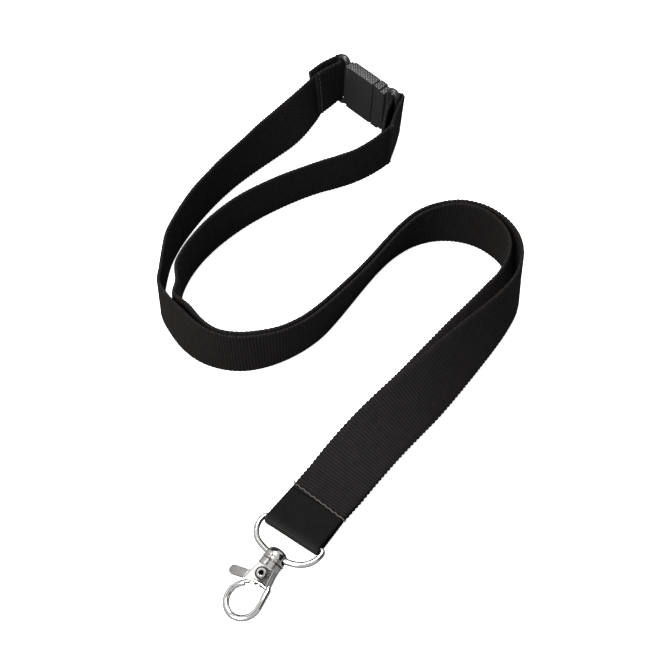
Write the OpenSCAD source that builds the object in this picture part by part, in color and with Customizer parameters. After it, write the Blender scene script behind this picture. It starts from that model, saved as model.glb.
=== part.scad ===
// Neck lanyard: doubled woven strap, breakaway buckle, D-ring and swivel trigger hook.
// It lies on its floor (z = 0) in loose curves, standing on one edge of the webbing.

/* [Webbing] */
// Width of the woven strap
strap_w = 20; // [19.5:0.1:20.2]
// Thickness of the woven strap
strap_t = 1.1; // [0.8:0.1:1.2]
// Distance between the middles of the two strands where they lie together
ply_pitch = 1.6; // [1.5:0.05:1.8]
// Diameter of the sewing thread
thread_d = 0.4; // [0.3:0.05:0.5]

/* [Breakaway buckle] */
// Length of the two closed halves between the webbing bars
body_l = 22; // [20:0.5:23]
// Height of the buckle body as it stands on its edge
body_h = 20.8; // [20:0.2:21.4]
// Thickness of the buckle body
body_t = 4.8; // [4.8:0.1:5.6]
// Share of the body length that the socket half takes
socket_share = 0.71; // [0.66:0.01:0.74]
// Diameter of the bars that hold the webbing
bar_d = 2.6; // [2.2:0.1:2.8]

/* [D-ring] */
// Diameter of the ring's wire
ring_wire = 1.8; // [1.6:0.1:2]
// Width between the middles of the ring's two sides
ring_w = 22.4; // [22:0.1:23]

/* [Trigger hook] */
// Distance from the rivet to the middle of the ring's wire
eye_reach = 6.4; // [6.3:0.05:6.6]
// Thickness of the hook's flat body
hook_t = 3.7; // [3.6:0.1:4]
// Diameter of the bow's round bar
bow_d = 1.9; // [1.6:0.1:2]
// Radius of the middle of the bow
bow_r = 5.2; // [5.1:0.1:5.4]
// Outer diameter of the tubular rivet
rivet_d = 3; // [2.8:0.1:3.2]

/* [Hidden] */
$fn = 48;
eps = 0.01;

web_colour = [0.075, 0.072, 0.075];
thread_colour = [0.16, 0.155, 0.15];
plastic_colour = [0.14, 0.14, 0.145];
nickel_colour = [0.78, 0.77, 0.75];

// Where the strap's lower edge runs on the floor: [x, y, lean, lift, side].
// lean is how far the top edge leans to the left of the way the strap runs, in degrees,
// lift raises it off the floor, and side is the ply's place: -1 right, 0 alone, 1 left.
outer_own = [
    [-9.7, 99.6, -8, 0.5, 0], [-14.4, 90.8, -13, 0.2, 0], [-19, 84.4, -14, 0, 0],
    [-24.2, 78.9, -11, 0, 0], [-29.8, 73.4, -7, 0, 0], [-35.4, 67.8, -2, 0, 0],
    [-41, 61.6, 1, 0, 0], [-45.8, 55.3, 2, 0, 0], [-50.1, 48.8, 3, 0, 0],
    [-54, 42, 3, 0, 0], [-57.6, 34.8, 4, 0, 0], [-60.7, 27.2, 5, 0, 0],
    [-62.8, 19.4, 5, 0, 0], [-63.6, 11.2, 6, 0, 0], [-63.4, 3.4, 6, 0, -0.3],
    [-62.2, -3, 4, 0, -0.8]];
inner_own = [
    [15.9, 70.2, 2, 0.7, 0], [11.4, 67, 4, 0.2, 0], [4.6, 63, 7, 0, 0],
    [-2.2, 60, 8, 0, 0], [-9, 57.4, 9, 0, 0], [-15.4, 54.2, 9, 0, 0],
    [-21.7, 50.5, 8, 0, 0], [-27.8, 46.4, 7, 0, 0], [-33.7, 41.9, 6, 0, 0],
    [-39.1, 37, 5, 0, 0], [-44.2, 31.6, 5, 0, 0], [-48.9, 25.6, 5, 0, 0],
    [-52.9, 19, 5, 0, 0], [-56, 12, 4, 0, 0.2], [-57.8, 5, 3, 0, 0.5],
    [-57.8, -2, 5, 0, 0.8]];
// [x, y, lean of the inner strand, further lean of the outer strand, lift]
shared = [
    [-59, -9.2, 8, -3, 0], [-54, -16.4, 12, -4, 0], [-48, -21.6, 8, -2, 0],
    [-41.1, -24.5, 2, 0, 0], [-33.9, -25.4, 0, 0, 0], [-26.8, -24.2, -2, 0, 0],
    [-20, -21.4, -5, 0, 0], [-13.4, -17.2, -6, 0, 0], [-7.5, -11.8, -6, 0, 0],
    [-2.5, -5.2, -8, 0, 0], [2.4, 2.2, -11, 0, 0], [7.5, 10, -13, 0, 0],
    [13, 17.8, -13, 0, 0], [19.4, 25, -11, 0, 0], [26.8, 30.4, -7, 0, 0],
    [35.1, 33.2, -3, 0, 0], [43.5, 33, 2, 0, 0], [51.5, 30, 3, -1, 0],
    [57.8, 24.4, 2, -3, 0], [61.8, 16.8, 0, -6, 0], [63, 8, -4, -10, 0],
    [61.2, -1.4, -9, -13, 0], [57, -9.8, -15, -15, 0], [52, -17.6, -22, -14, 0],
    [46.8, -25, -30, -12, 0], [41.6, -32.2, -38, -9, 0], [36.4, -39.2, -46, -6, 0],
    [31.2, -45.8, -53, -3, 0], [25.8, -52, -60, 0, 0], [20.6, -58, -68, 0, 0.1],
    [15.6, -64, -76, 0, 0.2], [10.7, -70, -84, 0, 0.4], [6, -76, -90, 0, 0.6],
    [1.6, -81.8, -95, 0, 0.6]];

// Where each buckle half's webbing loop is sewn to its strand: [x, y, lean, lift]
socket_tail = [-9.4, 100.4, -6, 3.6];
plug_tail = [17.6, 72, 1, 2];
loop_w = 19.6;
tail_spread = 1.6;
loop_spread = 1.9;
wrap_play = 0.1;
fold_gap = 0.3;
stitch_play = 0.2;
stitch_count = 7;
stitch_share = 0.7;
stitch_margin = 1.5;
ring_stitch_inset = 0.9;
loop_stitch_inset = 0.8;

// Buckle: the middle of its body, and its turns about its own x, y and then z
buckle_at = [11, 99.6, 13.2];
buckle_turn = [0, 3, -45];
corner_r = 0.8;
arch_r = 2.2;
arch_wire = 2;
arch_z = 9;
arch_root = 0.4;
bar_gap = 4.8;
bar_reach = body_l / 2 + bar_gap;
arch_x = bar_reach - arch_r;
socket_end = -body_l / 2 + body_l * socket_share;
halves_gap = 0.3;
plug_start = socket_end + halves_gap;
tongue_l = 10;
tongue_t = 2.4;
tongue_w = 9;
arm_w = 2.6;
arm_gap = 0.6;
arm_z = tongue_w / 2 + arm_gap + arm_w / 2;
arm_l = 9.2;
barb_r = 1.2;
barb_out = 0.8;
barb_z = arm_z + barb_out;
insert_r = 0.5;
slot_play = 0.2;
slot_end_play = 0.6;

// D-ring: the middle of its bar, and its turns about its own x, y and then z
ring_at = [-14.2, -86.8, 3.9];
ring_turn = [-4, -7, -36.5];
corner_bend = 1.3;
side_y = 1.8;
shoulder_bend = 6.8;
shoulder_sweep = 70;
shoulder_x = ring_w / 2 - shoulder_bend;
far_bend = shoulder_x / cos(shoulder_sweep) + shoulder_bend;
far_y = -side_y + shoulder_x * tan(shoulder_sweep);
ring_reach = far_bend - far_y;

// Trigger hook: its turns about its own x, y and then z, and its shape about the rivet
hook_turn = [7, -7, -36.5];
eye_shift = 0.8;
bow_at = [-0.2, -8.9];
bow_tip = 165;
bow_top = 8;
limb_l = 6;
gate_root = 126;
gate_tip = 158;
gate_r = bow_r - 0.1;
gate_d = 1.6;
collar_r = 3.4;
collar_y = [2.2, 4.25];
flange_r = 3.6;
flange_y = [4.6, 5.1];
dome_r = [3.4, 2];
dome_y = [6.9, 8.6];
stem_r = 0.8;
stem_end = 2.1;
head_r = 1.25;
head_l = 0.6;
eye_bore_r = 1.4;
slot_z = [-0.65, 1.15];
slot_x = 2.2;
slot_y = 1.95;
slot_l = 20;
arch_centre = [1.9, -14];
arch_cut_r = 11;
head_side_play = 0.1;
head_end_play = 0.15;
lever_t = 1.2;
hub_r = 1.8;
tab_end = [-8.7, -3.3];
tab_r = 1.5;
barrel_r = 1.05;
rivet_bore_r = 0.7;
rivet_lip = 0.35;
spring_wire = 0.34;
spring_r = 1.5;
running_gap = 0.05;
cut_l = 10;

// ---- small vector tools ----
function left_of(h) = [-sin(h), cos(h), 0];
function heading(a, b) = atan2(b[1] - a[1], b[0] - a[0]);
function turn_x(a, v) = [v[0], cos(a) * v[1] - sin(a) * v[2], sin(a) * v[1] + cos(a) * v[2]];
function turn_y(a, v) = [cos(a) * v[0] + sin(a) * v[2], v[1], cos(a) * v[2] - sin(a) * v[0]];
function turn_z(a, v) = [cos(a) * v[0] - sin(a) * v[1], sin(a) * v[0] + cos(a) * v[1], v[2]];
function turned(r, v) = turn_z(r[2], turn_y(r[1], turn_x(r[0], v)));

// The trigger hook hangs on the ring's far side, a little to one side of its middle
hook_at = ring_at + turned(ring_turn, [eye_shift, -ring_reach, 0])
    - turned(hook_turn, [0, eye_reach, 0]);

// A smooth curve through route points, worked out for every column alike
function smooth(a, b, c, d, u) =
    0.5 * (2 * b + u * (c - a) + u * u * (2 * a - 5 * b + 4 * c - d)
           + u * u * u * (3 * b - 3 * c + d - a));
function curve(p, steps) = let (n = len(p)) [
    for (i = [0 : n - 2]) for (k = [0 : steps - 1])
        smooth(i == 0 ? 2 * p[0] - p[1] : p[i - 1], p[i], p[i + 1],
               i == n - 2 ? 2 * p[n - 1] - p[n - 2] : p[i + 2], k / steps),
    p[n - 1]];

// Cross-section frame of a strap at one route point: [middle, width direction, normal]
function strap_frame(p, h, w) = let (
        across = [0, 0, cos(p[2])] + sin(p[2]) * left_of(h),
        normal = cos(p[2]) * left_of(h) - [0, 0, sin(p[2])],
        rise = (abs(p[4]) * ply_pitch / 2 + strap_t / 2) * abs(sin(p[2]))
            + max(0, -w * cos(p[2])) + p[3])
    [[p[0], p[1], rise] + w / 2 * across + p[4] * ply_pitch / 2 * normal, across, normal];
function strap_frames(p, w) = let (last = len(p) - 1) [
    for (i = [0 : last])
        strap_frame(p[i], heading(p[max(i - 1, 0)], p[min(i + 1, last)]), w)];

outer_route = concat(outer_own, [for (p = shared) [p[0], p[1], p[2] + p[3], p[4], -1]]);
inner_route = concat(inner_own, [for (p = shared) [p[0], p[1], p[2], p[4], 1]]);
sewn_end = let (n = len(shared), p = shared[n - 1],
        f = strap_frame([p[0], p[1], p[2], p[4], 1], heading(shared[n - 2], p), strap_w))
    [f[0] - ply_pitch / 2 * f[2], f[1], f[2]];

// A closed solid of rectangular section through a list of frames. Both wide faces are split
// along the same diagonal, so that twisted strips side by side stay parallel.
module ribbon(frames, w) {
    n = len(frames);
    points = [for (f = frames) for (c = [[-1, -1], [1, -1], [1, 1], [-1, 1]])
        f[0] + c[0] * w / 2 * f[1] + c[1] * strap_t / 2 * f[2]];
    sides = [for (i = [0 : n - 2]) for (k = [0 : 3]) let (
            a = 4 * i + k, b = 4 * i + (k + 1) % 4)
        each k < 2 ? [[a, b, b + 4], [a, b + 4, a + 4]] : [[a, b, a + 4], [b, b + 4, a + 4]]];
    e = 4 * n - 4;
    polyhedron(points, concat(sides, [[0, 2, 1], [0, 3, 2], [e, e + 1, e + 2], [e, e + 2, e + 3]]));
}

// ---- webbing ----
module outer_strand() color(web_colour) ribbon(strap_frames(curve(outer_route, 2), strap_w), strap_w);
module inner_strand() color(web_colour) ribbon(strap_frames(curve(inner_route, 2), strap_w), strap_w);

// The short webbing folded round the ring's bar, sewn to both strands
function fold_frames() = let (
        along = turned(ring_turn, [1, 0, 0]), out = turned(ring_turn, [0, -1, 0]),
        up = turned(ring_turn, [0, 0, 1]), r = ring_wire / 2 + wrap_play + strap_t / 2,
        start = sewn_end[0] + fold_gap * cross(sewn_end[1], -sewn_end[2]))
    concat(
        [[start - ply_pitch / 2 * sewn_end[2], sewn_end[1], sewn_end[2]]],
        [for (a = [-90 : 22.5 : 90]) let (o = cos(a) * out + sin(a) * up)
            [ring_at + r * o, -along, -o]],
        [[start + ply_pitch / 2 * sewn_end[2], sewn_end[1], -sewn_end[2]]]);
module ring_loop() color(web_colour) ribbon(fold_frames(), strap_w);

// A short webbing loop from a strand's end, round a buckle bar and back
function loop_frames(tail, foot, bar_lean) = let (
        h = heading(tail, foot), side = left_of(h), r = bar_d / 2 + wrap_play + strap_t / 2,
        bulge = 0.5 * (tail + [foot[0], foot[1], 0, foot[2]]))
    strap_frames(concat(
        [[tail[0] + tail_spread * side[0], tail[1] + tail_spread * side[1], -tail[2], tail[3], 0],
         [bulge[0] + loop_spread * side[0], bulge[1] + loop_spread * side[1], -tail[2] / 2, bulge[3], 0]],
        [for (a = [90 : -30 : -90]) let (o = left_of(h + a - 90))
            [foot[0] + r * o[0], foot[1] + r * o[1], bar_lean * sin(a), foot[2], 0]],
        [[bulge[0] - loop_spread * side[0], bulge[1] - loop_spread * side[1], tail[2] / 2, bulge[3], 0],
         [tail[0] - tail_spread * side[0], tail[1] - tail_spread * side[1], tail[2], tail[3], 0]]),
        loop_w);
function bar_foot(s) = buckle_at + turned(buckle_turn, [s * bar_reach, 0, -loop_w / 2]);
socket_frames = loop_frames(socket_tail, bar_foot(-1), -buckle_turn[1]);
plug_frames = loop_frames(plug_tail, bar_foot(1), -buckle_turn[1]);
module socket_loop() color(web_colour) ribbon(socket_frames, loop_w);
module plug_loop() color(web_colour) ribbon(plug_frames, loop_w);

// A row of short stitches lying on one face of a strap, across its width
module stitches(frame, height, inset, w) {
    pitch = (w - 2 * stitch_margin) / stitch_count;
    along = cross(frame[1], frame[2]);
    for (i = [0 : stitch_count - 1]) {
        p = frame[0] + (i - (stitch_count - 1) / 2) * pitch * frame[1] + height * frame[2] + inset * along;
        multmatrix([for (k = [0 : 2]) [frame[2][k], along[k], frame[1][k], p[k]]])
            cylinder(h = stitch_share * pitch, d = thread_d, center = true);
    }
}
stitch_height = (strap_t + thread_d) / 2 + stitch_play;
module ring_stitching() color(thread_colour)
    stitches(sewn_end, ply_pitch / 2 + stitch_height, ring_stitch_inset, strap_w);
module socket_loop_stitching() color(thread_colour)
    stitches(socket_frames[len(socket_frames) - 1], stitch_height, loop_stitch_inset, loop_w);
module plug_loop_stitching() color(thread_colour)
    stitches(plug_frames[len(plug_frames) - 1], stitch_height, loop_stitch_inset, loop_w);

// ---- breakaway buckle, drawn about the middle of its body ----
module at_buckle() translate(buckle_at) rotate(buckle_turn) children();
module rounded_section(w, h, r) {
    square([w, h - 2 * r], center = true);
    square([w - 2 * r, h], center = true);
    for (x = [-1, 1], y = [-1, 1]) translate([x * (w / 2 - r), y * (h / 2 - r)]) circle(r, $fn = 24);
}
module block(x0, x1, w, h, r)
    translate([x0, 0, 0]) rotate([90, 0, 90]) linear_extrude(x1 - x0) rounded_section(w, h, r);

// The bar for the webbing, and the arched arms that hold it, on one side (-1 or 1)
module webbing_frame(s) {
    translate([s * bar_reach, 0, -arch_z]) cylinder(h = 2 * arch_z, d = bar_d);
    translate([s * (body_l / 2 + arch_root), 0, -arch_z]) cylinder(h = 2 * arch_z, d = arch_wire);
    for (z = [-1, 1]) translate([s * arch_x, 0, z * arch_z]) rotate([90, 0, 0])
        rotate_extrude(angle = 180, start = z > 0 ? 0 : 180) translate([arch_r, 0]) circle(d = arch_wire);
}

module buckle_socket() color(plastic_colour) at_buckle() {
    difference() {
        block(-body_l / 2, socket_end, body_t, body_h, corner_r);
        block(socket_end - tongue_l - slot_end_play, socket_end + cut_l, tongue_t + 2 * slot_play,
            2 * (arm_z + arm_w / 2 + slot_play), insert_r);
        for (z = [-1, 1]) translate([plug_start - arm_l + barb_r, 0, z * barb_z]) rotate([90, 0, 0])
            cylinder(h = tongue_t + 2 * slot_play, r = barb_r + slot_play, center = true);
    }
    webbing_frame(-1);
}

module buckle_plug() color(plastic_colour) at_buckle() {
    block(plug_start, body_l / 2, body_t, body_h, corner_r);
    block(plug_start - tongue_l, plug_start + eps, tongue_t, tongue_w, insert_r);
    webbing_frame(1);
}

module snap_arms() color(plastic_colour) at_buckle() for (z = [-1, 1]) {
    translate([0, 0, z * arm_z]) block(plug_start - arm_l + barb_r, plug_start, tongue_t, arm_w, insert_r);
    translate([plug_start - arm_l + barb_r, 0, z * barb_z]) rotate([90, 0, 0])
        cylinder(h = tongue_t, r = barb_r, center = true);
}

// ---- D-ring, drawn about the middle of its bar ----
module at_ring() translate(ring_at) rotate(ring_turn) children();
module bend(at, r, from, sweep, wire)
    translate([at[0], at[1], 0]) rotate_extrude(angle = sweep, start = from)
        translate([r, 0]) circle(d = wire);
module d_ring() color(nickel_colour) at_ring() {
    bar_half = ring_w / 2 - corner_bend;
    translate([-bar_half, 0, 0]) rotate([0, 90, 0]) cylinder(h = 2 * bar_half, d = ring_wire);
    bend([bar_half, -corner_bend], corner_bend, 0, 90, ring_wire);
    bend([-bar_half, -corner_bend], corner_bend, 90, 90, ring_wire);
    for (x = [-1, 1]) translate([x * ring_w / 2, -side_y, 0]) rotate([-90, 0, 0])
        cylinder(h = side_y - corner_bend, d = ring_wire);
    bend([shoulder_x, -side_y], shoulder_bend, -shoulder_sweep, shoulder_sweep, ring_wire);
    bend([-shoulder_x, -side_y], shoulder_bend, 180, shoulder_sweep, ring_wire);
    bend([0, far_y], far_bend, shoulder_sweep - 180, 180 - 2 * shoulder_sweep, ring_wire);
}

// ---- trigger hook, drawn about its rivet: y runs to the ring, z out of its flat face ----
module at_hook() translate(hook_at) rotate(hook_turn) children();
module along_y(y0, y1, r) translate([0, y0, 0]) rotate([-90, 0, 0]) cylinder(h = y1 - y0, r = r);

module swivel_eye() color(nickel_colour) at_hook() {
    difference() {
        union() {
            along_y(flange_y[0], flange_y[1], flange_r);
            along_y(flange_y[1] - eps, dome_y[0], dome_r[0]);
            translate([0, dome_y[0] - eps, 0]) rotate([-90, 0, 0])
                cylinder(h = dome_y[1] - dome_y[0] + eps, r1 = dome_r[0], r2 = dome_r[1]);
        }
        translate([0, eye_reach, 0]) rotate([0, 90, 0])
            cylinder(h = cut_l, r = eye_bore_r, center = true);
    }
    along_y(stem_end, flange_y[0] + eps, stem_r);
    along_y(stem_end, stem_end + head_l, head_r);
}

// The flat body's outline; its lower edge is a shallow arch over the hook's opening
module hook_outline() difference() {
    polygon([[-2.6, 3.4], [2.9, 3.4], [3.3, 0.9], [3.9, -1.9], [4.7, -4.2], [-4, -5.2],
             [-3.5, -1.1], [-3.1, 1.2]]);
    translate(arch_centre) circle(arch_cut_r, $fn = 96);
}

module hook_body() color(nickel_colour) at_hook() difference() {
    union() {
        translate([0, 0, -hook_t / 2]) linear_extrude(hook_t) hook_outline();
        bend(bow_at, bow_r, bow_tip, 360 + bow_top - bow_tip, bow_d);
        translate([bow_at[0], bow_at[1], 0]) rotate(bow_top) translate([bow_r, 0, 0])
            along_y(0, limb_l, bow_d / 2);
        along_y(collar_y[0], collar_y[1], collar_r);
    }
    along_y(stem_end, collar_y[1] + cut_l, stem_r + running_gap);
    along_y(stem_end - head_side_play, stem_end + head_l + head_end_play, head_r + head_side_play);
    translate([slot_x - slot_l, slot_y - slot_l, slot_z[0]])
        cube([slot_l, slot_l, slot_z[1] - slot_z[0]]);
    cylinder(h = cut_l, r = barrel_r, center = true);
}

module lever_rivet() color(nickel_colour) at_hook() difference() {
    union() {
        translate([0, 0, -hook_t / 2 - rivet_lip]) cylinder(h = hook_t + 2 * rivet_lip, r = barrel_r);
        for (z = [-1, 1]) translate([0, 0, z * (hook_t + rivet_lip) / 2])
            cylinder(h = rivet_lip, d = rivet_d, center = true);
    }
    cylinder(h = cut_l, r = rivet_bore_r, center = true);
}

module trigger_lever() color(nickel_colour) at_hook() {
    gate_foot = bow_at + gate_r * [cos(gate_root), sin(gate_root)];
    difference() {
        translate([0, 0, -lever_t / 2]) linear_extrude(lever_t) {
            circle(hub_r);
            polygon([[-1.6, 0.8], [-4.2, -0.9], [-4.6, -3.8], [0, -hub_r]]);
            polygon([[-4.1, -0.9], [-8.6, -1.8], [-8.8, -4.8], [-4.5, -3.8]]);
            translate(tab_end) circle(tab_r);
            polygon([[0.2, -hub_r + 0.3], gate_foot + [0.5, 0.45], gate_foot - [0.55, 0.1], [-3.4, -2]]);
        }
        cylinder(h = cut_l, r = barrel_r + running_gap, center = true);
    }
    bend(bow_at, gate_r, gate_root, gate_tip - gate_root, gate_d);
}

module lever_spring() color(nickel_colour) at_hook()
    translate([0, 0, (slot_z[1] + lever_t / 2) / 2])
        rotate_extrude() translate([spring_r, 0]) circle(d = spring_wire);

outer_strand();
inner_strand();
ring_loop();
ring_stitching();
socket_loop();
socket_loop_stitching();
plug_loop();
plug_loop_stitching();
buckle_socket();
buckle_plug();
snap_arms();
d_ring();
swivel_eye();
hook_body();
lever_rivet();
trigger_lever();
lever_spring();
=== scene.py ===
# %% [markdown]
# # A neck lanyard with a breakaway buckle and a trigger hook
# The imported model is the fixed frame: its bodies, joints and sizes are never changed here.
# Each step below builds one piece or one finish around it. Lengths in the helpers are in
# millimetres, as a maker would measure the parts, and become metres when a piece is placed.

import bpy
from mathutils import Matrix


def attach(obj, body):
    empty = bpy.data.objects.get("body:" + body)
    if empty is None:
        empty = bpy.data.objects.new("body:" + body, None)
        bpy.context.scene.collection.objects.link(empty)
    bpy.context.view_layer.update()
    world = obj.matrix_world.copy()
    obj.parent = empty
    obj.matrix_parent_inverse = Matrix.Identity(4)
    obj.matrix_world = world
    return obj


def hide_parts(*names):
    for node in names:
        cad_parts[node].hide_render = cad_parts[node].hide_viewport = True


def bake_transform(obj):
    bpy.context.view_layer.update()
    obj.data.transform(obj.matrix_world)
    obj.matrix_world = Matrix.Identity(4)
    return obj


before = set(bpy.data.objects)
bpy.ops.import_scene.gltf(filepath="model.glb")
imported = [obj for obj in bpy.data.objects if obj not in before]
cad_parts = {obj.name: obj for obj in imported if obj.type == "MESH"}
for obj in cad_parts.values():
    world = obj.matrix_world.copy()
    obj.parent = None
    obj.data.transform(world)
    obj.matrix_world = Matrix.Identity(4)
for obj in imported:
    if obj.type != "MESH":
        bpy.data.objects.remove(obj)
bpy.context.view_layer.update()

import math
from math import cos, radians, sin

import bmesh
import bpy
import numpy as np
from mathutils import Euler, Matrix, Vector

MM = 0.001

# %% [markdown]
# ## Camera, floor and light
# A product like this is shown from above and a little in front, on a plain white table with a
# wide soft lamp. The camera is set first.
# The lens is a normal 50 mm one, which keeps the strap's curves from stretching at the corners.

# %% The camera
camera = bpy.data.objects.new("camera", bpy.data.cameras.new("camera"))
camera.data.lens = 50
camera.data.sensor_width = 36
camera.location = (-0.002, -0.20207, 0.26266)
CAMERA_TILT = 36
camera.rotation_euler = (radians(CAMERA_TILT), 0, 0)
bpy.context.scene.collection.objects.link(camera)
bpy.context.scene.camera = camera
print("camera looks down by", 90 - CAMERA_TILT, "degrees")

# %% [markdown]
# The floor is one large plane of white paper that glows a little, so it stays white around the
# object and still takes a faint shadow. What the metal mirrors of it is a darker grey, because a
# wide white mirror image would wipe out the outlines of thin wires. Polished metal shows only
# what is around it, and without something dark to mirror it would look like plaster. So two dark
# cards stand at the back and on the right, and a white and a dark card hang side by side where
# the hook's flat front mirrors them. The camera never sees the cards straight.

# %% Helpers for nodes, cards and lamps
def feed(tree, node, inputs):
    """Gives inputs what belongs to them: each is a name with a plain value or a socket."""
    for place, value in inputs.items():
        if isinstance(value, bpy.types.NodeSocket):
            tree.links.new(value, node.inputs[place])
        else:
            node.inputs[place].default_value = value
    return node


def add_node(tree, kind, inputs, **settings):
    """A node of one kind, with its settings and its inputs."""
    node = tree.nodes.new("ShaderNode" + kind)
    for setting, value in settings.items():
        setattr(node, setting, value)
    return feed(tree, node, inputs)


def value_range(tree, mask, low, high):
    """A mask from 0 to 1 turned into a range of values."""
    return add_node(tree, "MapRange", {"Value": mask, "To Min": low, "To Max": high}).outputs["Result"]


def flat_card(name, size, place, turn, tone, glow):
    """A square grey sheet that belongs to the studio, not to the object."""
    bm = bmesh.new()
    bmesh.ops.create_grid(bm, x_segments=1, y_segments=1, size=size / 2)
    bmesh.ops.transform(bm, verts=bm.verts, matrix=Matrix.Translation(place) @ turn.to_matrix().to_4x4())
    mesh = bpy.data.meshes.new(name)
    bm.to_mesh(mesh)
    bm.free()
    card = bpy.data.objects.new(name, mesh)
    bpy.context.scene.collection.objects.link(card)
    material = bpy.data.materials.new(name)
    material.use_nodes = True
    feed(material.node_tree, material.node_tree.nodes["Principled BSDF"], {
        "Base Color": (tone, tone, tone, 1), "Roughness": 0.9, "Specular IOR Level": 0.1,
        "Emission Color": (1, 1, 1, 1), "Emission Strength": glow})
    mesh.materials.append(material)
    return card


def lamp(name, place, size, watts):
    """A soft square lamp that points at the middle of the object."""
    light = bpy.data.objects.new(name, bpy.data.lights.new(name, "AREA"))
    light.data.shape = "SQUARE"
    light.data.size = size
    light.data.energy = watts
    light.location = place
    light.rotation_euler = (-Vector(place)).to_track_quat("-Z", "Y").to_euler()
    bpy.context.scene.collection.objects.link(light)


# %% Floor, cards, lamps and sky
PAPER_TONE, PAPER_GLOW, MIRRORED_TONE, FLOOR_SIZE, FLOOR_GAP = 0.9, 0.85, 0.12, 40, 0.0006
SKY_LIGHT, SKY_SEEN = 0.5, 1.0
floor = flat_card("floor", FLOOR_SIZE, (0, 0, -FLOOR_GAP), Euler(), PAPER_TONE, PAPER_GLOW)
floor_tree = floor.data.materials[0].node_tree
straight = add_node(floor_tree, "LightPath", {}).outputs["Is Camera Ray"]
feed(floor_tree, floor_tree.nodes["Principled BSDF"], {
    "Emission Strength": value_range(floor_tree, straight, 0.0, PAPER_GLOW),
    "Base Color": value_range(floor_tree, straight, MIRRORED_TONE, PAPER_TONE)})

# From the hook's front, this is the way that it mirrors, and the way its mirror image moves
# from the left rim of the front to the right.
hook_front, mirror_way = Vector((-0.024, -0.103, 0.005)), Vector((-0.389, 0.31, 0.867))
sweep = Vector((0.22, -0.18, 0.165)).normalized()
hung_turn = Matrix((sweep, sweep.cross(mirror_way), -mirror_way)).transposed().to_euler()
HUNG_SIZE, HUNG_AWAY, HUNG_SHIFT = 0.16, 0.4, 0.085
hung = hook_front + mirror_way * HUNG_AWAY
for name, size, place, turn, tone, glow, lights_others in (
        ("dark_card_right", 0.4, (0.34, -0.1, 0.16), Euler((0, radians(75), 0)), 0.01, 0, True),
        ("dark_card_back", 0.5, (-0.05, 0.4, 0.22), Euler((radians(70), 0, 0)), 0.01, 0, True),
        ("white_card_left", HUNG_SIZE, hung - sweep * HUNG_SHIFT, hung_turn, 0.9, 0.9, False),
        ("dark_card_above", HUNG_SIZE, hung + sweep * HUNG_SHIFT, hung_turn, 0.05, 0, False)):
    card = flat_card(name, size, place, turn, tone, glow)
    card.visible_camera = False
    card.visible_diffuse = card.visible_shadow = lights_others
lamp("key_lamp", (-0.35, -0.35, 0.5), 0.3, 6)
lamp("top_lamp", (0.0, 0.2, 0.6), 0.25, 4)
world = bpy.data.worlds.new("studio")
world.use_nodes = True
straight = add_node(world.node_tree, "LightPath", {}).outputs["Is Camera Ray"]
feed(world.node_tree, world.node_tree.nodes["Background"], {
    "Color": (1, 1, 1, 1), "Strength": value_range(world.node_tree, straight, SKY_LIGHT, SKY_SEEN)})
bpy.context.scene.world = world
bpy.context.scene.view_settings.view_transform = "Standard"
print("two lamps, four cards and a white floor")

# %% [markdown]
# ## Shared effects for the finishes
# Four finishes cover the whole object: woven polyester, sewing thread, moulded plastic and
# polished nickel. What they have in common, such as a fine grain, is built once as a node group
# with named inputs. The shader itself always stays in the material.

# %% Helpers for node groups
def new_group(name, coordinates, numbers, masks):
    """An empty shader node group: coordinates and numbers go in, masks come out."""
    group = bpy.data.node_groups.new(name, "ShaderNodeTree")
    sockets = group.interface
    sockets.new_socket(coordinates, in_out="INPUT", socket_type="NodeSocketVector")
    for label, value in numbers.items():
        sockets.new_socket(label, in_out="INPUT", socket_type="NodeSocketFloat").default_value = value
    for label in masks:
        sockets.new_socket(label, in_out="OUTPUT", socket_type="NodeSocketFloat")
    return group, group.nodes.new("NodeGroupInput").outputs, group.nodes.new("NodeGroupOutput")


def math_node(tree, operation, a, b=None, clamp=False):
    """One sum; a and b may be sockets or plain numbers."""
    inputs = {0: a} if b is None else {0: a, 1: b}
    return add_node(tree, "Math", inputs, operation=operation, use_clamp=clamp).outputs[0]


def plus(tree, a, b, clamp=False):
    return math_node(tree, "ADD", a, b, clamp)


def times(tree, a, b):
    return math_node(tree, "MULTIPLY", a, b)


def noise(tree, vector, scale, detail=2.0, roughness=0.5):
    """Plain noise that reads the given coordinates."""
    return add_node(tree, "TexNoise", {
        "Vector": vector, "Scale": scale, "Detail": detail, "Roughness": roughness}).outputs["Fac"]


# %% [markdown]
# **Weave.** Each rib of this webbing is one thick weft yarn, and the fine warp yarns that cross it
# make a row of small bumps, half a step out from one rib to the next. The pattern reads the
# strip's own UV map, which holds metres along and across the strap, so it bends with the strap.

# %% The weave group
weave, weave_in, weave_out = new_group(
    "weave", "UV", {"Rib pitch": 0.00105, "Yarn pitch": 0.0006}, ("Height", "Lightness"))
split_uv = add_node(weave, "SeparateXYZ", {0: weave_in["UV"]}).outputs
rib_count = math_node(weave, "DIVIDE", split_uv["X"], weave_in["Rib pitch"])
rib_wave = math_node(weave, "COSINE", times(weave, rib_count, math.tau))
half_step = times(weave, math_node(weave, "FLOOR", plus(weave, rib_count, 0.5)), 0.5)
yarn_count = plus(weave, math_node(weave, "DIVIDE", split_uv["Y"], weave_in["Yarn pitch"]), half_step)
yarn_wave = math_node(weave, "COSINE", times(weave, yarn_count, math.tau))
height = plus(weave, times(weave, rib_wave, 0.6), times(weave, yarn_wave, 0.4))
uneven = noise(weave, weave_in["UV"], 350.0)
# Lightness follows the bump height, a painted highlight on crowns and painted shade in gaps, plus random tone.
cell = times(weave, plus(weave, height, 1.0), 0.5)
lightness = plus(weave, times(weave, cell, 0.7), times(weave, uneven, 0.6), clamp=True)
feed(weave, weave_out, {"Height": height, "Lightness": lightness})
print("weave group:", len(weave.nodes), "nodes")

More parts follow.
